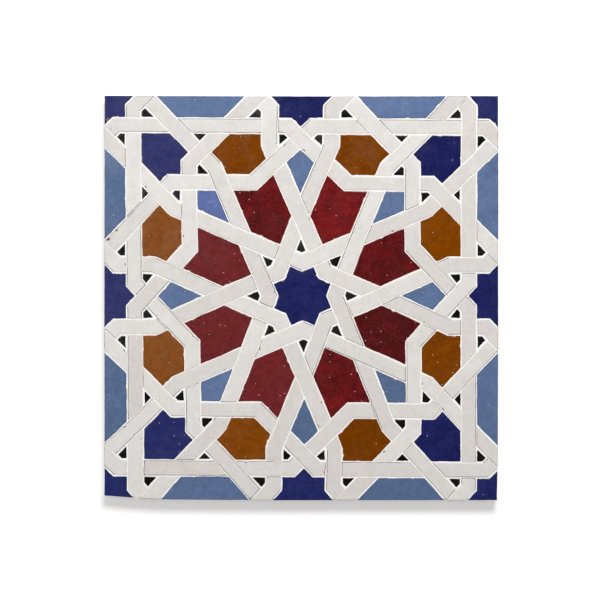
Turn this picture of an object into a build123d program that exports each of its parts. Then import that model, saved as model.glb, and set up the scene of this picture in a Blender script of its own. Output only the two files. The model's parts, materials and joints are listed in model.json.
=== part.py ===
"""A square zellige mosaic tile: hand-cut glazed clay pieces set face-up in a mortar bed.

White straps weave over and under one another round an eight-point star in the middle of the tile,
half stars in the middle of its sides and quarter stars in its corners.  Coloured fields and small
black chips fill what the straps leave open.  Every piece is cut with its sides leaning in towards
the back, and the mortar between the pieces is the narrow joint that shows.

The tile lies on its back: X runs to the right, Y up the pattern and Z out of the glazed face.
The origin is the middle of the back.
"""

import math
import os

from build123d import *

# Driving dimensions, in millimetres and degrees
tile_width = 300.0
tile_depth = 308.0
backing_thickness = 5.0
piece_thickness = 10.0
strap_joint = 0.5
field_joint = 0.8
chip_joint = 1.35
joint_recess = 0.4
side_lean = 5.0
shortest_side = 1.5

# Proportions of the pattern: the stars to the tile's width, and the straps to the stars
star_share = 0.0747
strap_share = 0.491

# What follows from them
half_width = tile_width / 2
half_depth = tile_depth / 2
face_height = backing_thickness + piece_thickness
star_apothem = tile_width * star_share
strap_width = star_apothem * strap_share
star_tip = star_apothem * math.sqrt(2)
star_vertex = star_apothem / math.cos(math.radians(22.5))
octagon_apothem = (half_width - star_tip) / math.sqrt(2)
run_off = 2 * strap_width
crossing_reach = 1.5 * strap_width

quarters = {
    "north_east": (1, 1),
    "north_west": (-1, 1),
    "south_west": (-1, -1),
    "south_east": (1, -1),
}


def polar(centre, radius, angle):
    """The point at a radius and an angle, in degrees, from a centre."""
    turn = math.radians(angle)
    return (centre[0] + radius * math.cos(turn), centre[1] + radius * math.sin(turn))


def meet(first, first_angle, second, second_angle):
    """Where the line through first at first_angle meets the line through second at second_angle."""
    ax, ay = polar((0, 0), 1, first_angle)
    bx, by = polar((0, 0), 1, second_angle)
    gap_x, gap_y = second[0] - first[0], second[1] - first[1]
    along = (gap_x * by - gap_y * bx) / (ax * by - ay * bx)
    return (first[0] + along * ax, first[1] + along * ay)


def between(start, end, distance):
    """The point at a distance from start on the line to end, or past it."""
    share = distance / math.dist(start, end)
    return (start[0] + (end[0] - start[0]) * share, start[1] + (end[1] - start[1]) * share)


def mirrored(points, flip_x, flip_y):
    """The points with either coordinate turned over where its sign is -1."""
    return [(x * flip_x, y * flip_y) for x, y in points]


def swapped(points):
    """The points turned over the rising diagonal."""
    return [(y, x) for x, y in points]


def stretched(points):
    """The points of the square pattern moved up and down to fit the tile's depth."""
    return [(x, y * tile_depth / tile_width) for x, y in points]


# Middle lines of the straps in the square pattern, in the quarter where X and Y are positive
def outer_strap():
    """From the foot of the right side past its half star, round the octagon and out at the top."""
    foot = (half_width - star_tip, -half_width)
    low = polar((half_width, -half_width), star_vertex, 157.5)
    apex = polar((half_width, 0), star_vertex, 202.5)
    top = (star_tip, half_width)
    inner = meet(apex, 135, (octagon_apothem, 0), 90)
    outer = meet((octagon_apothem, 0), 90, top, 135)
    return [foot, low, apex, inner, outer, top]


def star_strap():
    """From the half star at the top past the middle star to the half star at the right."""
    bend = polar((0, 0), star_vertex, 45)
    top_apex = polar((0, half_width), star_vertex, 202.5)
    right_apex = polar((half_width, 0), star_vertex, -112.5)
    upper = meet((-star_apothem, 0), 90, bend, 112.5)
    lower = meet((0, -star_apothem), 0, bend, -22.5)
    return [(-star_tip, half_width), top_apex, upper, bend, lower, right_apex, (half_width, -star_tip)]


def corner_strap():
    """From the left side over the middle star to the right side."""
    bend = polar((0, 0), star_vertex, 90)
    end = (half_width, half_width - star_tip)
    knee = meet(bend, 22.5, end, 45)
    return [(-end[0], end[1]), (-knee[0], knee[1]), bend, knee, end]


def strap_lines():
    """The middle line of each strap by name, carried on past the edge of the tile at both ends."""
    lines = {
        "corner_strap_north": corner_strap(),
        "corner_strap_south": mirrored(corner_strap(), 1, -1),
        "corner_strap_east": swapped(corner_strap()),
        "corner_strap_west": mirrored(swapped(corner_strap()), -1, 1),
    }
    for quarter, (flip_x, flip_y) in quarters.items():
        lines["side_strap_" + quarter] = mirrored(outer_strap(), flip_x, flip_y)
        lines["top_strap_" + quarter] = mirrored(swapped(outer_strap()), flip_x, flip_y)
        lines["star_strap_" + quarter] = mirrored(star_strap(), flip_x, flip_y)
    for name, square_line in lines.items():
        line = stretched(square_line)
        before = between(line[1], line[0], math.dist(line[1], line[0]) + run_off)
        after = between(line[-2], line[-1], math.dist(line[-2], line[-1]) + run_off)
        lines[name] = [before, *line[1:-1], after]
    return lines


# Where the straps cross, and which of them passes below
def segment_crossing(a, b, c, d):
    """How far along ab and along cd the two cross, or None."""
    ax, ay = b[0] - a[0], b[1] - a[1]
    cx, cy = d[0] - c[0], d[1] - c[1]
    slant = ax * cy - ay * cx
    if abs(slant) < 1e-9:
        return None
    first = ((c[0] - a[0]) * cy - (c[1] - a[1]) * cx) / slant
    second = ((c[0] - a[0]) * ay - (c[1] - a[1]) * ax) / slant
    if not (0 <= first < 1 and 0 <= second < 1):
        return None
    return first * math.hypot(ax, ay), second * math.hypot(cx, cy)


def on_tile(point):
    """Whether a point lies on the tile, its edge included."""
    slack = 0.01
    return abs(point[0]) < half_width + slack and abs(point[1]) < half_depth + slack


def line_crossings(first, second):
    """How far along each of two lines they cross, for each crossing on the tile."""
    found = []
    travelled = 0
    for a, b in zip(first, first[1:]):
        passed = 0
        for c, d in zip(second, second[1:]):
            hit = segment_crossing(a, b, c, d)
            if hit and on_tile(between(a, b, hit[0])):
                found.append((travelled + hit[0], passed + hit[1]))
            passed += math.dist(c, d)
        travelled += math.dist(a, b)
    return found


def passes_below(lines):
    """For each strap, each place where it passes below: the strap over it, and how far along that."""
    names = list(lines)
    order = {name: [] for name in names}
    for i, first in enumerate(names):
        for second in names[i + 1 :]:
            for here, there in line_crossings(lines[first], lines[second]):
                order[first].append((here, second, there))
                order[second].append((there, first, here))
    for crossings in order.values():
        crossings.sort()
    starts_below = {"star_strap_north_east": True}
    waiting = ["star_strap_north_east"]
    while waiting:
        name = waiting.pop()
        for place, (here, other, there) in enumerate(order[name]):
            if other in starts_below:
                continue
            below = starts_below[name] == (place % 2 == 0)
            other_place = order[other].index((there, name, here))
            starts_below[other] = (not below) == (other_place % 2 == 0)
            waiting.append(other)
    below = {}
    for name in names:
        first = 0 if starts_below[name] else 1
        below[name] = [(other, there) for here, other, there in order[name][first::2]]
    return below


# Flat outlines of the pieces
def beside(points, distance, closed=False):
    """The points of a line moved to its left by a distance, with mitred corners."""
    moved = []
    for i, point in enumerate(points):
        after = points[(i + 1) % len(points)]
        arriving = (point - points[i - 1]).normalized()
        leaving = (after - point).normalized()
        if not closed and i == 0:
            arriving = leaving
        if not closed and point is points[-1]:
            leaving = arriving
        across = (arriving + leaving).normalized().rotate(Axis.Z, 90)
        moved.append(point + across * (distance / across.dot(arriving.rotate(Axis.Z, 90))))
    return moved


def band(line, width):
    """The flat strip of a width along a line, with mitred corners."""
    points = [Vector(*point) for point in line]
    right = beside(points, -width / 2)
    left = beside(points, width / 2)
    return make_face(Polyline(*right, *reversed(left), close=True))


def stretch(points, start, end):
    """The part of a line between two distances along it."""
    kept = []
    travelled = 0
    for a, b in zip(points, points[1:]):
        length = math.dist(a, b)
        if travelled + length > start and travelled < end:
            if not kept:
                kept.append(between(a, b, max(start - travelled, 0)))
            kept.append(between(a, b, min(end - travelled, length)))
        travelled += length
    return kept


def strap_faces(lines):
    """The cut pieces of each strap: its band, broken wherever another strap passes over it."""
    faces = {}
    below = passes_below(lines)
    for name, line in lines.items():
        strip = band(line, strap_width)
        for other, there in below[name]:
            over = stretch(lines[other], there - crossing_reach, there + crossing_reach)
            strip -= band(over, strap_width + 2 * strap_joint)
        faces[name] = strip.faces()
    return faces


def open_faces(lines, joint):
    """What the straps leave open on the tile, with a joint of a width beside every strap."""
    sheet = Rectangle(tile_width + 2 * strap_width, tile_depth + 2 * strap_width)
    for line in lines.values():
        sheet -= band(line, strap_width + 2 * joint)
    return [face for face in sheet.faces() if on_tile(tuple(face.center()))]


def field_seeds():
    """A point inside each coloured field, by the field's name."""
    edge = half_width - star_apothem / 3
    side = (octagon_apothem + half_width - star_apothem) / 2
    amber = (half_width / 2 + star_apothem) / 2
    seeds = {
        "middle_star": (0, 0),
        "half_star_north": (0, edge),
        "half_star_south": (0, -edge),
        "half_star_east": (edge, 0),
        "half_star_west": (-edge, 0),
    }
    quarter_fields = {
        "quarter_star": (edge, edge),
        "corner_blue": (side, side),
        "amber_top": (amber, side),
        "amber_side": (side, amber),
        "sky_edge_top": (half_width / 2, edge),
        "sky_edge_side": (edge, half_width / 2),
    }
    for field, (x, y) in quarter_fields.items():
        for quarter, (flip_x, flip_y) in quarters.items():
            seeds[field + "_" + quarter] = (x * flip_x, y * flip_y)
    for i in range(8):
        seeds[f"sky_kite_{i + 1}"] = polar((0, 0), 1.12 * octagon_apothem, 45 * i)
        seeds[f"red_shield_{i + 1}"] = polar((0, 0), 0.8 * octagon_apothem, 45 * i + 22.5)
    return dict(zip(seeds, stretched(seeds.values())))


# Solids
def corners(face):
    """The corners of a flat outline, anticlockwise, with no side too short to cut."""
    edges = face.outer_wire().order_edges()
    kept = []
    for before, edge in zip(edges[-1:] + edges[:-1], edges):
        if before.length > shortest_side:
            kept.append(edge @ (0 if edge.length > shortest_side else 0.5))
    return kept


def cut_piece(face):
    """A clay piece with its glazed face up and its sides leaning in towards the back."""
    outline = corners(face)
    narrowing = piece_thickness * math.tan(math.radians(side_lean))
    top = [corner + Vector(0, 0, face_height) for corner in outline]
    back = [corner + Vector(0, 0, backing_thickness) for corner in beside(outline, narrowing, closed=True)]
    skin = [make_face(Polyline(*ring, close=True)) for ring in (top, back)]
    for i in range(len(outline)):
        skin.append(make_face(Polyline(top[i - 1], top[i], back[i], back[i - 1], close=True)))
    return Solid(Shell(skin))


def block(height):
    """The tile's outline, from the back up to a height."""
    return extrude(Rectangle(tile_width, tile_depth), amount=height)


def tile_pieces():
    """Every cut piece of the tile, by node name, as lists of solids that don't touch."""
    lines = strap_lines()
    pieces = {}
    for name, faces in strap_faces(lines).items():
        node = name.replace("side_strap", "outer_straps").replace("top_strap", "outer_straps")
        pieces.setdefault(node, []).extend(cut_piece(face) for face in faces)
    fields = open_faces(lines, field_joint)
    chips = open_faces(lines, chip_joint)
    for name, (x, y) in field_seeds().items():
        seed = Vector(x, y, 0)
        pieces[name] = [cut_piece(face) for face in fields if face.is_inside(seed)]
        chips = [face for face in chips if not face.is_inside(seed)]
    pieces["black_chips"] = [cut_piece(face) for face in chips]
    return pieces


def main():
    os.makedirs("parts", exist_ok=True)
    pieces = tile_pieces()
    bed = block(face_height - joint_recess)
    bed = bed - [solid for solids in pieces.values() for solid in solids]
    export_step(bed, "parts/mortar_bed.step")
    outline = block(face_height)
    for name, solids in pieces.items():
        inside = [solid & outline for solid in solids]
        kept = [piece for part in inside if part for piece in part.solids()]
        export_step(Compound(kept), f"parts/{name}.step")


if __name__ == "__main__":
    main()
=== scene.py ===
"""Dresses the mosaic tile: hand-cut glazed pieces in a mortar bed, on a pale floor, seen from above."""

import json
import math
import random

import bpy
import numpy as np
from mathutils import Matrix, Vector, noise
from mathutils.geometry import delaunay_2d_cdt


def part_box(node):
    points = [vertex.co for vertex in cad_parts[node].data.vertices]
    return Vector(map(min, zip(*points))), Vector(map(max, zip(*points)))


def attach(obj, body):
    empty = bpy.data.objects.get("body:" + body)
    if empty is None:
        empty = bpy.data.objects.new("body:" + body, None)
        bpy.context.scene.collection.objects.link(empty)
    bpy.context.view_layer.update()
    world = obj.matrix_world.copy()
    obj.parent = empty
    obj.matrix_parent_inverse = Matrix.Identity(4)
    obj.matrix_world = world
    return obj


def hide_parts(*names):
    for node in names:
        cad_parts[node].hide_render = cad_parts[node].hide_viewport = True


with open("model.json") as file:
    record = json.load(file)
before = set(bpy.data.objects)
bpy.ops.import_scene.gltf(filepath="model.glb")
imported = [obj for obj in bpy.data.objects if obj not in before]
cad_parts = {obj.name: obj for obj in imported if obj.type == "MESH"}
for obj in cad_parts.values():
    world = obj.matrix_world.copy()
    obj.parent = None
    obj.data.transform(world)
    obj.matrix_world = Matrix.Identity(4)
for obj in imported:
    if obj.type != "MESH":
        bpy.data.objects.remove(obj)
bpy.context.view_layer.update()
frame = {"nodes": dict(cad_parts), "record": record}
nodes = frame["nodes"]

# The tile's outline and levels in millimetres, as the frame has them, and the names of its sides
bed_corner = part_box("mortar_bed")[1]
HALF_X, HALF_Y = bed_corner.x * 1000, bed_corner.y * 1000
CLAY_BACK, FACE = (corner.z * 1000 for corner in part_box("middle_star"))
RIGHT, TOP, LEFT, BOTTOM = range(4)

# A piece's shape in millimetres: how far its sides lean in, the width of its rounded arris and how far that
# drops on a chiselled and on a sawn side, how its corners round off, and the width of the thin-glazed rim
LEAN = math.tan(math.radians(5)) * (FACE - CLAY_BACK)
ARRIS = 0.45
CUT_DROP = 0.3
SAWN_DROP = 0.06
ROUND_OFF = 0.4
THIN_RIM = 2.2

# How far apart a mesh's points are, in millimetres, round an outline and over a face. Then where rows of
# points follow an outline, in widths of the arris, and how far below the face the sides have rings of them
STEP = 1.1
GRID = 2.0
ROWS = (0.35, 0.75, 1.1)
CHISELLED_RINGS = (1.2,)
SAWN_RINGS = (1.2, 4, 7)

# Where the glaze is broken off or scuffed: the middle of the spot and its reach, in millimetres
BROKEN_SPOTS = ((-147, 135, 1.8), (-145, 128, 1.2), (-147, 42, 1.6), (-141, 49, 1.2), (-147, -62, 1.2))
SCUFFED_SPOTS = ((77, 147, 10), (146, 88, 7), (-66, 70, 8), (117, 118, 9), (-100, 115, 9), (-20, 60, 6))

# How a piece is cut. Its sides move in by inset, give or take play, and turn by up to turn radians. It lies
# up to sink below the others. Slow and quick are the waves of its edge, and chips is how often a side 40 mm
# long is chipped. Then the share of its sides with a dark line along the joint, how dark that line is, and
# soft, which makes it less inside: the line is painted shade of the open joint and of the arris, with some
# dirt
CUTS = {
    "white_glaze": {
        "inset": 0.04, "play": 0.14, "turn": 0.006, "sink": 0.04, "slow": 0.2, "quick": 0.09,
        "chips": 0.2, "shaded_and_dirty_share": 0.28, "seam": (0.7, 1.6), "soft": 0.85,
    },
    "coloured": {
        "inset": 0.1, "play": 0.2, "turn": 0.010, "sink": 0.06, "slow": 0.36, "quick": 0.14,
        "chips": 0.8, "shaded_and_dirty_share": 1.0, "seam": (0.6, 1.0), "soft": 0.7,
    },
    "black_glaze": {
        "inset": -0.15, "play": 0.25, "turn": 0.05, "sink": 0.08, "slow": 0.2, "quick": 0.14,
        "chips": 0.0, "shaded_and_dirty_share": 1.0, "seam": (0.6, 1.0), "soft": 0.5,
    },
}
SAWN_PLAY = (-0.05, 0.12)
# How dark the line of painted shade, with some dirt, is along the tile's sawn outer sides
SAWN_SHADE_AND_DIRT = (0.3, 0.6)

# Pieces whose glaze stands out: -1 darkest, 1 palest, 2 of another cast. On the west side pieces the high
# values are partly painted reflection of light from the left
TONES_AND_WEST_REFLECTION = {
    "sky_kite_4": 2, "corner_blue_north_west": 2, "half_star_west": 2, "quarter_star_north_west": 1.7,
    "corner_blue_south_west": 1.4, "amber_side_north_west": 2, "amber_side_south_west": 1.8,
    "amber_top_south_west": 1.3, "red_shield_4": 2, "red_shield_5": 2.2, "red_shield_6": 1.9,
    "red_shield_2": 0.4, "red_shield_7": 0.0, "quarter_star_north_east": 1, "sky_kite_1": 0.4,
    "sky_kite_3": 0.5, "sky_kite_2": 0.4, "sky_kite_5": 0.4, "red_shield_8": -0.6, "red_shield_1": -0.2,
    "red_shield_3": -0.1, "amber_top_south_east": -1, "sky_edge_top_south_east": -1, "sky_kite_7": -1,
    "sky_kite_8": -0.7, "sky_edge_top_north_east": 1, "half_star_south": 0.4,
    "quarter_star_south_east": 0.2,
}


def smooth(value, start, end):
    """0 before start, 1 after end, and an even ramp between."""
    t = np.clip((value - start) / (end - start), 0, 1)
    return t * t * (3 - 2 * t)


def outer_line(side, along):
    """How far the sawn edge of the tile lies inside its box, on one side, at a place along it."""
    wave = 0.1 * noise.noise(Vector((along / 40, side * 7.3, 0)))
    if side == TOP:
        hollow = 0.3 * math.exp(-((along / 60) ** 2))
        return 0.2 + hollow + wave
    if side == BOTTOM:
        raised_corner = 2.6 * max(0, (-110 - along) / 40)
        raised_half = 0.5 * min(1, max(0, (-40 - along) / 40))
        return 0.12 + raised_corner + raised_half + wave
    if side == RIGHT:
        worn_corner = 0.8 * max(0, (-100 - along) / 50)
        return 0.2 + worn_corner + wave
    return 0.2 + wave


def crept(x, y):
    """Where a point of the true pattern lies in the laid one, which has crept a little to and fro.

    The curves follow how far the photograph's pieces lie from the true pattern, in millimetres.
    """
    u, v = x / HALF_X, y / HALF_Y
    right = (1 - u * u) * (0.8 - 3.6 * v + 3.0 * v**3 + 5.0 * u - 9.5 * u**3 + 2.7 * u * v)
    up = (1 - v * v) * (1.6 + 4.7 * v - 10.6 * v**3 - 5.5 * u * v * v)
    return x + right, y + up


# Outlines of the pieces, read from the frame
def face_outlines(name):
    """The glazed faces of a node's pieces, each as its corners in millimetres, anticlockwise."""
    mesh = nodes[name].data
    points = [(round(v.co.x * 1000, 3), round(v.co.y * 1000, 3), v.co.z * 1000) for v in mesh.vertices]
    follows = {}
    sides = set()
    for face in mesh.polygons:
        ring = [points[i] for i in face.vertices]
        if min(p[2] for p in ring) > FACE - 0.01:
            flat = [p[:2] for p in ring]
            sides.update(zip(flat, flat[1:] + flat[:1]))
    for a, b in sides:
        if (b, a) not in sides:
            follows[a] = b
    loops = []
    while follows:
        start = min(follows)
        loop = [start]
        after = follows.pop(start)
        while after != start:
            loop.append(after)
            after = follows.pop(after)
        loops.append(without_straight_corners(loop))
    return loops


def without_straight_corners(loop):
    """The loop without the corners where it hardly turns."""
    kept = []
    for i, here in enumerate(loop):
        before, after = loop[i - 1], loop[(i + 1) % len(loop)]
        a = Vector(here) - Vector(before)
        b = Vector(after) - Vector(here)
        if abs(a.normalized().cross(b.normalized())) > 0.01:
            kept.append(here)
    return kept


def tile_side(a, b):
    """Which side of the tile an edge lies on, or None."""
    close = 0.05
    if min(a[0], b[0]) > HALF_X - close:
        return RIGHT
    if min(a[1], b[1]) > HALF_Y - close:
        return TOP
    if max(a[0], b[0]) < close - HALF_X:
        return LEFT
    if max(a[1], b[1]) < close - HALF_Y:
        return BOTTOM
    return None


def moved_corners(corners, insets, turns):
    """The corners after each side moves inwards by its inset and turns a little about its middle."""
    count = len(corners)
    middles, headings = [], []
    for i, turn in enumerate(turns):
        a, b = Vector(corners[i]), Vector(corners[(i + 1) % count])
        heading = (b - a).normalized()
        inward = Vector((-heading.y, heading.x))
        middles.append((a + b) / 2 + inward * insets[i])
        headings.append(Vector((heading.x - heading.y * turn, heading.y + heading.x * turn)).normalized())
    moved = []
    for i in range(count):
        p, d = middles[i - 1], headings[i - 1]
        q, e = middles[i], headings[i]
        cross = d.x * e.y - d.y * e.x
        if abs(cross) < 0.2:
            corner = Vector(corners[i])
            near_p = p + d * (corner - p).dot(d)
            near_q = q + e * (corner - q).dot(e)
            moved.append((near_p + near_q) / 2)
        else:
            gap = q - p
            moved.append(p + d * ((gap.x * e.y - gap.y * e.x) / cross))
    return moved


def hand_cut(loop, rng, cut):
    """A piece's corners as cut by hand, and for each side whether it lies on the tile's outer edge."""
    insets, turns, outer = [], [], []
    end_play = 0.22
    for i, a in enumerate(loop):
        b = loop[(i + 1) % len(loop)]
        side = tile_side(a, b)
        length = math.dist(a, b)
        if side is None:
            insets.append(cut["inset"] + rng.uniform(-cut["play"], cut["play"]))
            turns.append(rng.uniform(-1, 1) * min(cut["turn"], end_play / length))
        else:
            axis = 1 if side in (RIGHT, LEFT) else 0
            near, far = outer_line(side, a[axis]), outer_line(side, b[axis])
            insets.append((near + far) / 2 + rng.uniform(*SAWN_PLAY))
            turns.append((far - near) / length)
        outer.append(side is not None)
    return moved_corners(loop, insets, turns), outer


def resampled(corners, backs, outer, rng, cut):
    """Points round the outline and round the back, matched one to one, with the cut's unevenness.

    For each point it also says whether it is on the tile's edge and how dark the line of painted shade,
    with some dirt, is at the joint there, and it lists the points that lie in a chip.
    """
    count = len(corners)
    front, back, on_edge, dents, joint_shade_and_dirt_amounts = [], [], [], [], []
    seed = rng.uniform(0, 500)
    travelled = 0
    for i in range(count):
        a, b = Vector(corners[i]), Vector(corners[(i + 1) % count])
        c, d = Vector(backs[i]), Vector(backs[(i + 1) % count])
        length = (b - a).length
        heading = (b - a) / length
        inward = Vector((-heading.y, heading.x))
        trim = min(ROUND_OFF, length * 0.25)
        turned_in = (a - Vector(corners[i - 1])).normalized()
        front.append(a + (heading - turned_in) * trim * 0.25)
        back.append(c.copy())
        on_edge.append(outer[i] and outer[i - 1])
        # How dark this side's joint line is: painted shade of the open joint and of the shaded arris, with
        # some dirt
        side_shade_and_dirt = rng.uniform(*cut["seam"]) if rng.random() < cut["shaded_and_dirty_share"] else 0
        if outer[i]:
            side_shade_and_dirt = rng.uniform(*SAWN_SHADE_AND_DIRT)
        joint_shade_and_dirt_amounts.append(side_shade_and_dirt)
        chips = []
        if not outer[i] and length > 6 and rng.random() < cut["chips"] * length / 40:
            chips.append((rng.uniform(2, length - 2), rng.uniform(0.15, 0.55), rng.uniform(0.8, 2.2)))
        pieces = max(1, round((length - 2 * trim) / STEP))
        for j in range(pieces + 1):
            along = trim + (length - 2 * trim) * j / pieces
            place = travelled + along
            ease = min(1, along / 3, (length - along) / 3)
            shift = cut["slow"] * noise.noise(Vector((place / 11, seed, 0))) * ease
            shift += cut["quick"] * noise.noise(Vector((place / 2.3, seed, 5)))
            for where, depth, width in chips:
                shift += depth * max(0, 1 - ((along - where) / width) ** 2)
            if outer[i]:
                shift = abs(shift) * 0.5
            front.append(a + heading * along + inward * shift)
            back.append(c.lerp(d, along / length))
            on_edge.append(outer[i])
            joint_shade_and_dirt_amounts.append(side_shade_and_dirt * (1 + 0.9 * noise.noise(Vector((place / 6, seed, 9)))))
            if any(abs(along - where) < width * 0.6 and depth > 0.3 for where, depth, width in chips):
                dents.append(len(front) - 1)
        travelled += length
    return front, back, on_edge, dents, joint_shade_and_dirt_amounts


# Points inside an outline
def edge_distances(points, ring):
    """How far each point is from a closed ring of points."""
    a = np.array(ring)
    b = np.roll(a, -1, axis=0)
    best = np.full(len(points), np.inf)
    d = b - a
    squares = np.maximum((d * d).sum(1), 1e-12)
    batch = 2000
    for start in range(0, len(points), batch):
        p = points[start : start + batch, None, :]
        t = np.clip(((p - a) * d).sum(2) / squares, 0, 1)
        gap = p - (a + t[..., None] * d)
        best[start : start + batch] = np.sqrt((gap * gap).sum(2)).min(1)
    return best


def inside(points, ring):
    """Whether each point is inside a closed ring."""
    a = np.array(ring)
    b = np.roll(a, -1, axis=0)
    x, y = points[:, 0, None], points[:, 1, None]
    spans = (a[:, 1] > y) != (b[:, 1] > y)
    rise = np.where(b[:, 1] == a[:, 1], 1e-12, b[:, 1] - a[:, 1])
    crosses = x < (b[:, 0] - a[:, 0]) * (y - a[:, 1]) / rise + a[:, 0]
    return (spans & crosses).sum(1) % 2 == 1


def face_points(ring):
    """Points for the glazed face: a few rows along its edge and an even spread inside."""
    ring_array = np.array(ring)
    before, after = np.roll(ring_array, 1, axis=0), np.roll(ring_array, -1, axis=0)
    along = after - before
    along /= np.maximum(np.linalg.norm(along, axis=1), 1e-9)[:, None]
    inward = np.stack([-along[:, 1], along[:, 0]], axis=1)
    found = []
    for share in ROWS:
        distance = ARRIS * share
        row = ring_array + inward * distance
        keep = inside(row, ring_array) & (edge_distances(row, ring_array) > distance * 0.93)
        found.append(row[keep])
    (x0, y0), (x1, y1) = ring_array.min(0), ring_array.max(0)
    triangle_height = 0.866
    rows = np.arange(y0, y1, GRID * triangle_height)
    spread = [(x + GRID / 2 * (i % 2), y) for i, y in enumerate(rows) for x in np.arange(x0, x1, GRID)]
    spread = np.array(spread)
    spread = spread[inside(spread, ring_array)]
    found.append(spread[edge_distances(spread, ring_array) > ARRIS * 2])
    return np.concatenate(found)


# Meshes
class Mesh:
    """Vertices, faces and per-vertex values of one object, collected piece by piece."""

    def __init__(self):
        self.points, self.faces = [], []
        self.values = {"tone": [], "rim": [], "bare": [], "seam": [], "scuff": []}

    def add(self, points, faces, **values):
        start = len(self.points)
        self.points.extend(points)
        self.faces.extend([tuple(start + i for i in face) for face in faces])
        for key, kept in self.values.items():
            kept.extend(values.get(key, [0] * len(points)))

    def replace_node(self, name, replaced, material):
        """Makes the object, in metres and crept as the tile is, and lets it stand for a node."""
        data = bpy.data.meshes.new(name)
        laid = [(*crept(x, y), z) for x, y, z in self.points]
        data.from_pydata([(x / 1000, y / 1000, z / 1000) for x, y, z in laid], [], self.faces)
        for key, values in self.values.items():
            attribute = data.attributes.new(key, "FLOAT", "POINT")
            attribute.data.foreach_set("value", np.array(values, np.float32))
        data.polygons.foreach_set("use_smooth", [True] * len(data.polygons))
        data.materials.append(material)
        piece = bpy.data.objects.new(name, data)
        bpy.context.scene.collection.objects.link(piece)
        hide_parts(replaced)
        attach(piece, "root")


def quads_between(above, below):
    """Faces that join two rings of points, matched one to one."""
    after = list(range(1, len(above))) + [0]
    return [(above[i], below[i], below[j], above[j]) for i, j in enumerate(after)]


def face_heights(xy, distance, sawn, rng, sink):
    """How high the points of a face lie: a little sunk and tilted, faintly wavy, round at the edge."""
    least_sunk, most_tilt, most_rise, waves = 0.02, 0.003, 0.035, 0.03
    middle = xy.mean(0)
    reach = np.abs(xy - middle).max()
    tilt = np.array([rng.uniform(-1, 1), rng.uniform(-1, 1)]) * min(most_tilt, most_rise / reach)
    rise = (xy - middle) @ tilt
    seed = rng.uniform(0, 300)
    swell = np.array([noise.noise(Vector((x / 9, y / 9, seed))) for x, y in xy])
    level = FACE - (least_sunk + rng.uniform(0, sink))
    height = level + (rise - rise.max()) + waves * (swell - 1)
    share = np.clip(1 - distance / ARRIS, 0, 1)
    drop = np.where(sawn, SAWN_DROP, CUT_DROP)
    return height - drop * (1 - np.sqrt(np.clip(1 - share**2, 0, 1)))


def closeness(xy, spots, start, fall):
    """1 in the middle of any spot, less further out and 0 beyond it; each spot is a place and its reach."""
    found = np.zeros(len(xy))
    for x, y, reach in spots:
        gap = np.linalg.norm(xy - (x, y), axis=1)
        found = np.maximum(found, np.clip(start - fall * gap / reach, 0, 1))
    return found


def side_levels(front, back, on_edge, depths):
    """Rings of points down a piece's sides, roughened where the tile's edge was sawn, and its back."""
    levels = []
    near_edge, roughness = 4, 0.22
    for depth in depths:
        level = []
        for p, q, sawn in zip(front, back, on_edge):
            spot = p.lerp(q, depth / (FACE - CLAY_BACK))
            if sawn:
                rough = roughness * noise.noise(Vector((spot.x / 2, spot.y / 2, depth * 1.7)))
                inward = Vector((0, 0))
                if abs(spot.x) > HALF_X - near_edge:
                    inward.x = -math.copysign(1, spot.x)
                if abs(spot.y) > HALF_Y - near_edge:
                    inward.y = -math.copysign(1, spot.y)
                spot = spot + inward * abs(rough)
            level.append((spot.x, spot.y, FACE - depth))
        levels.append(level)
    levels.append([(q.x, q.y, CLAY_BACK) for q in back])
    return levels


def add_piece(mesh, loop, rng, cut, tone):
    """One glazed piece: uneven outline, rounded arris, slightly crowned face and leaning sides."""
    corners, outer = hand_cut(loop, rng, cut)
    lean = [0 if on_side else LEAN for on_side in outer]
    backs = moved_corners([tuple(c) for c in corners], lean, [0] * len(corners))
    front, back, on_edge, dents, joint_shade_and_dirt_amounts = resampled(corners, backs, outer, rng, cut)
    ring = [tuple(p) for p in front]
    flat = [Vector(p) for p in ring + face_points(ring).tolist()]
    verts, _, tris, origins, _, _ = delaunay_2d_cdt(flat, [], [list(range(len(ring)))], 1, 1e-5)
    xy = np.array([tuple(v) for v in verts])
    where = {}
    for index, sources in enumerate(origins):
        where.update({source: index for source in sources if source < len(ring)})

    distance = edge_distances(xy, ring)
    nearest = np.array([np.argmin(((np.array(ring) - p) ** 2).sum(1)) for p in xy])
    height = face_heights(xy, distance, np.array(on_edge)[nearest], rng, cut["sink"])
    chip_reach = 0.9
    chipped = closeness(xy, [(*ring[dent], chip_reach) for dent in dents], 1.3, 1)
    chipped = np.maximum(chipped, closeness(xy, BROKEN_SPOTS, 1.5, 1))
    scuff = closeness(xy, SCUFFED_SPOTS, 1.5, 1.5)
    rim = np.clip(1 - distance / THIN_RIM, 0, 1)
    in_joint, beside_joint = distance < ARRIS * 0.6, distance < ARRIS * 0.9
    # Painted shade, with some dirt, as a dark line in the arris beside the joint
    seam = np.array(joint_shade_and_dirt_amounts)[nearest] * beside_joint * np.where(in_joint, 1, cut["soft"])

    points = [(x, y, z) for (x, y), z in zip(xy.tolist(), height.tolist())]
    faces = [tuple(face) for face in tris]
    above = [where[i] for i in range(len(ring))]
    for level in side_levels(front, back, on_edge, SAWN_RINGS if any(outer) else CHISELLED_RINGS):
        below = list(range(len(points), len(points) + len(level)))
        points.extend(level)
        faces.extend(quads_between(above, below))
        above = below
    faces.append(tuple(reversed(above)))
    side_points = len(points) - len(xy)
    mesh.add(
        points,
        faces,
        tone=[tone] * len(points),
        rim=rim.tolist() + [1] * side_points,
        bare=chipped.tolist() + [1] * side_points,
        seam=seam.tolist() + [1] * side_points,
        scuff=scuff.tolist() + [0] * side_points,
    )


# Shader nodes
def new_tree(owner):
    """The empty node tree of a material or world."""
    owner.use_nodes = True
    owner.node_tree.nodes.clear()
    return owner.node_tree


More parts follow.
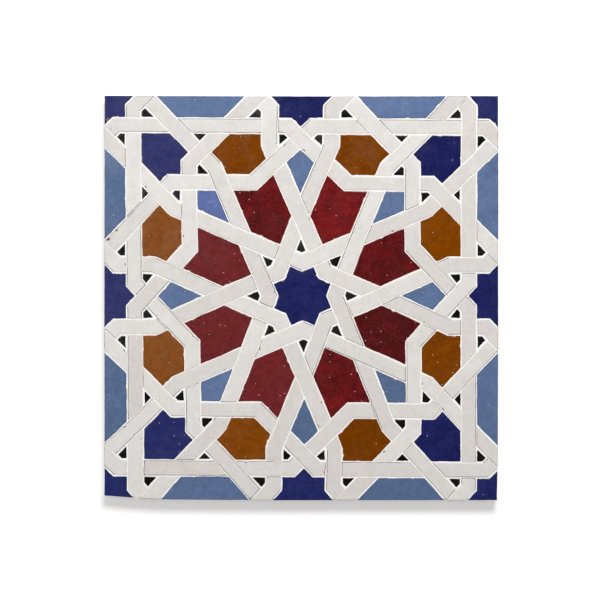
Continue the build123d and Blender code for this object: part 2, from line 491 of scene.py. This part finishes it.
def node(tree, kind, settings=None, **inputs):
    """A node with its inputs, named as Blender does or i0, i1 and so on by their place."""
    made = tree.nodes.new(kind)
    for key, value in (settings or {}).items():
        setattr(made, key, value)
    for key, value in inputs.items():
        socket = made.inputs[int(key[1:])] if key[0] == "i" and key[1:].isdigit() else made.inputs[key]
        connect(tree, socket, value)
    return made


def connect(tree, socket, value):
    """Links an input to another node's output, or gives it a value of its own."""
    if isinstance(value, bpy.types.NodeSocket):
        tree.links.new(value, socket)
    else:
        socket.default_value = value


def maths(tree, operation, a, b=0.0, c=0.0):
    return node(tree, "ShaderNodeMath", {"operation": operation}, i0=a, i1=b, i2=c).outputs[0]


def ramp(tree, value, start, end, low_value=0.0, high_value=1.0):
    """An even ramp of a value, held at both ends."""
    settings = {"interpolation_type": "SMOOTHSTEP"}
    inputs = {"i0": value, "i1": start, "i2": end, "i3": low_value, "i4": high_value}
    return node(tree, "ShaderNodeMapRange", settings, **inputs).outputs[0]


def mix(tree, share, a, b, blend="MIX"):
    """A mix of two colours, each a socket or three numbers."""
    made = tree.nodes.new("ShaderNodeMix")
    made.data_type = "RGBA"
    made.blend_type = blend
    connect(tree, made.inputs[0], share)
    for socket, colour in ((made.inputs[6], a), (made.inputs[7], b)):
        connect(tree, socket, colour if isinstance(colour, bpy.types.NodeSocket) else (*colour[:3], 1))
    return made.outputs[2]


def clouds(tree, place, scale, detail=3.0, roughness=0.5, distortion=0.0):
    inputs = {"Scale": scale, "Detail": detail, "Roughness": roughness, "Distortion": distortion}
    return node(tree, "ShaderNodeTexNoise", {"noise_dimensions": "3D"}, Vector=place, **inputs).outputs[0]


def value_of(tree, name):
    """One of the values that a mesh carries on its points."""
    return node(tree, "ShaderNodeAttribute", {"attribute_name": name}).outputs[2]


def object_place(tree):
    return node(tree, "ShaderNodeTexCoord").outputs["Object"]


def srgb(r, g, b):
    """A colour as a screen shows it, 0 to 255, in the linear values that Blender works with."""
    return tuple(((v / 255 + 0.055) / 1.055) ** 2.4 if v > 10 else v / 255 / 12.92 for v in (r, g, b))


def pinholes(tree, place, scale, size, share):
    """Small round specks, in some of the cells of a given scale."""
    cells = node(tree, "ShaderNodeTexVoronoi", {"feature": "F1"}, Vector=place, Scale=scale)
    spot = ramp(tree, cells.outputs["Distance"], size, size * 0.6)
    lot = node(tree, "ShaderNodeSeparateColor", i0=cells.outputs["Color"]).outputs[0]
    return maths(tree, "MULTIPLY", spot, maths(tree, "GREATER_THAN", lot, 1 - share))


def seen_rays(tree):
    """1 for rays that show what they meet: the camera's, and those mirrored or let through by a surface."""
    path = node(tree, "ShaderNodeLightPath")
    mirrored = maths(tree, "MAXIMUM", path.outputs["Is Glossy Ray"], path.outputs["Is Transmission Ray"])
    return maths(tree, "MAXIMUM", path.outputs["Is Camera Ray"], mirrored)


# Materials
def fired_colour(tree, place, main, other, cast, uneven):
    """The glaze as it was fired: cloudy between two colours or nearer its cast, and thinner in places. On
    some west side pieces the shift to the cast is partly painted reflection.
    """
    tone = value_of(tree, "tone")
    mottle = maths(tree, "MULTIPLY", clouds(tree, place, 70, 4, 0.6, 0.4), 0.5)
    mottle = maths(tree, "MULTIPLY_ADD", clouds(tree, place, 230, 5, 0.75, 0.8), 0.5, mottle)
    shift = maths(tree, "MULTIPLY_ADD", tone, 0.2, mottle)
    colour = mix(tree, ramp(tree, shift, 0.34, 0.68), main, other)
    patches = maths(tree, "MULTIPLY_ADD", maths(tree, "SUBTRACT", mottle, 0.5), 3.0, tone)
    colour = mix(tree, ramp(tree, patches, 1.0, 2.0, 0.0, 0.9), colour, cast)
    depth = ramp(tree, clouds(tree, place, 190, 5, 0.75, 0.6), 0.34, 0.66, 1 - uneven, 1 + uneven)
    return mix(tree, 1.0, colour, depth, "MULTIPLY")


def marked(tree, place, colour, light, specks):
    """The colour with fine grain, smears, pinholes and scuffs."""
    grain = clouds(tree, place, 900, 2, 0.6)
    colour = mix(tree, ramp(tree, grain, 0.35, 0.75, 0.0, 0.16), colour, light)
    smear = clouds(tree, place, 160, 5, 0.65, 1.5)
    colour = mix(tree, ramp(tree, smear, 0.62, 0.8, 0.0, 0.2), colour, light)
    colour = mix(tree, pinholes(tree, place, 260, 0.11, specks), colour, srgb(214, 192, 184))
    colour = mix(tree, maths(tree, "MULTIPLY", pinholes(tree, place, 600, 0.2, specks), 0.6), colour, light)
    scratched = clouds(tree, place, 480, 4, 0.7, 2.0)
    streaks = maths(tree, "MULTIPLY_ADD", value_of(tree, "scuff"), 0.14, scratched)
    return mix(tree, ramp(tree, streaks, 0.66, 0.76, 0.0, 0.7), colour, light)


def glaze(name, main, other, light, seam, cast, uneven, specks, roughness):
    """A glossy glaze on clay, worn at the rim, darkened along some joints by painted shade with some dirt,
    and missing in chips and below.
    """
    material = bpy.data.materials.new(name)
    tree = new_tree(material)
    place = object_place(tree)
    colour = fired_colour(tree, place, main, other, cast, uneven)
    colour = marked(tree, place, colour, light, specks)
    worn = clouds(tree, place, 500, 3, 0.6)
    at_rim = ramp(tree, value_of(tree, "rim"), 0.75, 1.0)
    edge = maths(tree, "MULTIPLY", at_rim, ramp(tree, worn, 0.52, 0.68))
    colour = mix(tree, maths(tree, "MULTIPLY", edge, 0.3), colour, light)
    # A dark line of painted shade, with some dirt, along the joints at the rim
    colour = mix(tree, value_of(tree, "seam"), colour, seam)

    clay = mix(tree, clouds(tree, place, 400, 4, 0.7), srgb(150, 104, 78), srgb(196, 158, 128))
    glaze_ends, clay_starts, unevenness = FACE / 1000 - 0.00030, FACE / 1000 - 0.00042, 0.0005
    height = node(tree, "ShaderNodeSeparateXYZ", i0=place).outputs[2]
    ragged = maths(tree, "MULTIPLY_ADD", clouds(tree, place, 700, 2, 0.5), unevenness, height)
    below = ramp(tree, ragged, glaze_ends, clay_starts)
    broken = maths(tree, "MULTIPLY", value_of(tree, "bare"), maths(tree, "ADD", worn, 0.35))
    chip = maths(tree, "GREATER_THAN", broken, 0.5)
    colour = mix(tree, chip, colour, srgb(112, 88, 78))
    colour = mix(tree, below, colour, clay)

    dull = maths(tree, "MULTIPLY", maths(tree, "MAXIMUM", below, chip), 0.85)
    gloss = ramp(tree, clouds(tree, place, 45, 4, 0.6, 0.6), 0.3, 0.75, roughness * 0.7, roughness * 1.6)
    rough = maths(tree, "MAXIMUM", gloss, dull)
    pits = clouds(tree, place, 1300, 2, 0.6)
    relief = maths(tree, "MULTIPLY_ADD", pits, 0.06, clouds(tree, place, 110, 3, 0.5))
    bump = node(tree, "ShaderNodeBump", Strength=0.35, Distance=0.0006, Height=relief).outputs[0]
    surface(tree, colour, rough, bump, specular=0.5)
    return material


def mortar_material():
    """White mortar: sandy, blotched, and warmed by the red and amber pieces beside it."""
    material = bpy.data.materials.new("mortar")
    tree = new_tree(material)
    place = object_place(tree)
    sand = clouds(tree, place, 700, 5, 0.7)
    blot = clouds(tree, place, 60, 3, 0.5)
    colour = mix(tree, sand, srgb(250, 248, 245), srgb(255, 255, 254))
    colour = mix(tree, ramp(tree, blot, 0.5, 0.75, 0.0, 0.3), colour, srgb(222, 214, 203))
    warm = maths(tree, "MULTIPLY", value_of(tree, "tone"), 0.45)
    colour = mix(tree, warm, colour, srgb(250, 222, 206))
    relief = maths(tree, "MULTIPLY_ADD", clouds(tree, place, 2200, 3, 0.7), 0.4, sand)
    bump = node(tree, "ShaderNodeBump", Strength=0.6, Distance=0.0005, Height=relief).outputs[0]
    surface(tree, colour, 0.85, bump, specular=0.3)
    return material


def surface(tree, colour, roughness, bump, specular):
    """Ends a material's tree in a shader."""
    inputs = {"Base Color": colour, "Roughness": roughness, "Normal": bump, "Specular IOR Level": specular}
    shader = node(tree, "ShaderNodeBsdfPrincipled", **inputs)
    node(tree, "ShaderNodeOutputMaterial", Surface=shader.outputs[0])


# The colours of each glaze: main and other are the ends of its usual range, light shows in grain, pinholes
# and scuffs, the joint colour is the dark line of painted shade, with some dirt, along a joint, and cast is
# what some pieces fired to, and on the west side partly painted reflection of light from the left. Then how
# much the glaze's thickness shows, how many pinholes it has, and its roughness
GLAZES = {
    "white_glaze": glaze(
        "white_glaze", main=srgb(226, 222, 217), other=srgb(217, 212, 207), light=srgb(240, 237, 234),
        seam=srgb(60, 52, 46), cast=srgb(212, 202, 197), uneven=0.03, specks=0.08, roughness=0.24,
    ),
    "deep_blue_glaze": glaze(
        "deep_blue_glaze", main=srgb(22, 26, 80), other=srgb(36, 42, 98), light=srgb(66, 68, 124),
        seam=srgb(10, 12, 40), cast=srgb(50, 53, 101), uneven=0.16, specks=0.16, roughness=0.14,
    ),
    "light_blue_glaze": glaze(
        "light_blue_glaze", main=srgb(82, 103, 138), other=srgb(96, 117, 156), light=srgb(136, 152, 184),
        seam=srgb(48, 62, 92), cast=srgb(92, 106, 164), uneven=0.07, specks=0.07, roughness=0.16,
    ),
    "red_glaze": glaze(
        "red_glaze", main=srgb(74, 15, 18), other=srgb(120, 22, 25), light=srgb(132, 66, 64),
        seam=srgb(44, 6, 8), cast=srgb(106, 38, 41), uneven=0.2, specks=0.4, roughness=0.14,
    ),
    "amber_glaze": glaze(
        "amber_glaze", main=srgb(112, 54, 0), other=srgb(126, 64, 0), light=srgb(152, 92, 24),
        seam=srgb(58, 28, 0), cast=srgb(132, 76, 34), uneven=0.16, specks=0.22, roughness=0.16,
    ),
    "black_glaze": glaze(
        "black_glaze", main=srgb(10, 8, 7), other=srgb(18, 15, 13), light=srgb(40, 36, 32),
        seam=srgb(8, 7, 6), cast=srgb(26, 22, 20), uneven=0.1, specks=0.1, roughness=0.2,
    ),
}


# The glazed pieces
def dress_pieces():
    """Replaces every node of cut pieces, and gives the outlines of the warm-coloured ones."""
    slots = {part["node"]: part["material_slot"] for part in frame["record"]["subparts"]}
    warm_rings = []
    for index, name in enumerate(sorted(nodes)):
        if name == "mortar_bed":
            continue
        slot = slots[name]
        palest = 1.4 if slot == "white_glaze" else 0.8
        mesh = Mesh()
        rng = random.Random(1000 + index)
        for loop in face_outlines(name):
            tone = rng.uniform(-0.8, palest)
            add_piece(mesh, loop, rng, CUTS.get(slot, CUTS["coloured"]), TONES_AND_WEST_REFLECTION.get(name, tone))
            if slot in ("red_glaze", "amber_glaze"):
                warm_rings.append(loop)
        mesh.replace_node("glazed_" + name, name, GLAZES[slot])
    return warm_rings


# The mortar
def warmth(flat, warm_rings):
    """1 beside a warm-coloured piece and 0 away from all of them."""
    reach = 6
    warm_gap = np.full(len(flat), np.inf)
    for loop in warm_rings:
        ring = np.array(loop)
        near = (flat > ring.min(0) - reach).all(1) & (flat < ring.max(0) + reach).all(1)
        if near.any():
            gap = edge_distances(flat[near], ring)
            gap[inside(flat[near], ring)] = 0
            warm_gap[near] = np.minimum(warm_gap[near], gap)
    return 1 - smooth(warm_gap, 0.8, 2.4)


def bed_top(us, vs):
    """Rows of points over the bed's top, just inside the sawn edges: fuller here and washed out there."""
    behind_edge, below_face, ripples, washed_out = 0.3, 0.38, 0.05, 0.12
    across, up = (us, HALF_X), (vs, HALF_Y)
    top, bottom, left, right = (
        [outer_line(side, s * half) + behind_edge for s in grid]
        for side, (grid, half) in ((TOP, across), (BOTTOM, across), (LEFT, up), (RIGHT, up))
    )
    flat = []
    for j, v in enumerate(vs):
        for i, u in enumerate(us):
            x = -HALF_X + left[j] + (2 * HALF_X - left[j] - right[j]) * (u + 1) / 2
            y = -HALF_Y + bottom[i] + (2 * HALF_Y - bottom[i] - top[i]) * (v + 1) / 2
            flat.append((x, y))
    washed = np.array([noise.noise(Vector((x / 13, y / 13, 3.1))) for x, y in flat])
    ripple = np.array([noise.noise(Vector((x / 3, y / 3, 8.2))) for x, y in flat])
    depth = below_face + ripples * ripple + washed_out * smooth(washed, 0.1, 0.4)
    return [(x, y, z) for (x, y), z in zip(flat, FACE - depth)]


def bed_side(rim, level):
    """The ring of points at one level of the bed's sides, under its rim: rough, drawn in at the bottom."""
    near_side, near_end = 4, 5
    roughness, bottom_edge = 0.35, 0.3
    ring = []
    for x, y, _ in rim:
        rough = roughness * abs(noise.noise(Vector((x / 4, y / 4, level / 3))))
        rough += bottom_edge if level == 0 else 0
        in_x = math.copysign(rough, x) if abs(x) > HALF_X - near_side else 0
        in_y = math.copysign(rough, y) if abs(y) > HALF_Y - near_end else 0
        ring.append((x - in_x, y - in_y, level))
    return ring


def dress_bed(warm_rings):
    """The mortar as one casting, whose top rises between the pieces."""
    columns, rows = 196, 200
    levels = (13.2, 11, 8.5, 6, 4, 2, 0.5, 0)
    points = bed_top(np.linspace(-1, 1, columns + 1), np.linspace(-1, 1, rows + 1))
    warm = warmth(np.array(points)[:, :2], warm_rings)
    width = columns + 1
    starts = [j * width + i for j in range(rows) for i in range(columns)]
    faces = [(a, a + 1, a + width + 1, a + width) for a in starts]
    above = list(range(width)) + [j * width + columns for j in range(1, rows + 1)]
    above += [rows * width + i for i in range(columns - 1, -1, -1)]
    above += [j * width for j in range(rows - 1, 0, -1)]
    rim = [points[i] for i in above]
    for level in levels:
        below = list(range(len(points), len(points) + len(rim)))
        points.extend(bed_side(rim, level))
        faces.extend(quads_between(above, below))
        above = below
    faces.append(tuple(reversed(above)))
    mesh = Mesh()
    mesh.add(points, faces, tone=warm.tolist() + [0] * (len(points) - len(warm)))
    mesh.replace_node("cast_mortar", "mortar_bed", mortar_material())


# Floor, light and camera
def floor():
    """A pale floor just under the tile, seen a little brighter than it is lit."""
    width, clearance, own_glow = 6, 0.0002, 0.28
    bpy.ops.mesh.primitive_plane_add(size=width, location=(0, 0, -clearance))
    plane = bpy.context.object
    plane.name = "floor"
    material = bpy.data.materials.new("pale_floor")
    tree = new_tree(material)
    shade = mix(tree, clouds(tree, object_place(tree), 3, 2, 0.5), (0.86, 0.86, 0.86), (0.88, 0.88, 0.88))
    diffuse = node(tree, "ShaderNodeBsdfDiffuse", Color=shade)
    glow_strength = maths(tree, "MULTIPLY", seen_rays(tree), own_glow)
    glow = node(tree, "ShaderNodeEmission", Color=(1, 1, 1, 1), Strength=glow_strength)
    both = node(tree, "ShaderNodeAddShader", i0=diffuse.outputs[0], i1=glow.outputs[0])
    node(tree, "ShaderNodeOutputMaterial", Surface=both.outputs[0])
    plane.data.materials.append(material)


def area_light(name, direction, distance, size, power):
    """A round lamp at a distance in a direction, turned to the tile."""
    data = bpy.data.lights.new(name, "AREA")
    data.shape = "DISK"
    data.size = size
    data.energy = power
    light = bpy.data.objects.new(name, data)
    light.location = Vector(direction).normalized() * distance
    light.rotation_euler = (-light.location).to_track_quat("-Z", "Y").to_euler()
    bpy.context.scene.collection.objects.link(light)


def studio():
    """Soft light from all round under a dark ceiling, with a white backdrop low down."""
    world = bpy.data.worlds.new("studio")
    bpy.context.scene.world = world
    tree = new_tree(world)
    direction = node(tree, "ShaderNodeTexCoord").outputs["Generated"]
    upward = node(tree, "ShaderNodeSeparateXYZ", i0=direction).outputs[2]
    sky_strength = ramp(tree, upward, 0.8, 0.95, 0.42, 0.0)
    backdrop_strength = maths(tree, "MAXIMUM", ramp(tree, upward, 0.3, 0.6, 1.0, 0.0), sky_strength)
    sky, backdrop = (
        node(tree, "ShaderNodeBackground", Color=(1, 1, 1, 1), Strength=strength).outputs[0]
        for strength in (sky_strength, backdrop_strength)
    )
    both = node(tree, "ShaderNodeMixShader", i0=seen_rays(tree), i1=sky, i2=backdrop)
    node(tree, "ShaderNodeOutputWorld", Surface=both.outputs[0])


def photo_camera():
    """Looks straight at the face, from where the tile is as many pixels wide as in the photograph."""
    image_pixels = 600
    tile_pixels = 394.5
    view_right, view_up = -1.3, -2.0
    lens, sensor = 150, 36
    pixel = 2 * HALF_X / 1000 / tile_pixels
    data = bpy.data.cameras.new("camera")
    data.lens = lens
    data.sensor_width = sensor
    camera = bpy.data.objects.new("camera", data)
    away = image_pixels * pixel * lens / sensor
    camera.location = (view_right * pixel, view_up * pixel, FACE / 1000 + away)
    bpy.context.scene.collection.objects.link(camera)
    bpy.context.scene.camera = camera


dress_bed(dress_pieces())
floor()
area_light("key", (0.1, 0.64, 1), 1.9, 0.7, 26.2)
area_light("haze", (-0.36, 0.14, 1), 2.0, 0.4, 4.0)
studio()
photo_camera()
bpy.context.scene.view_settings.view_transform = "Standard"
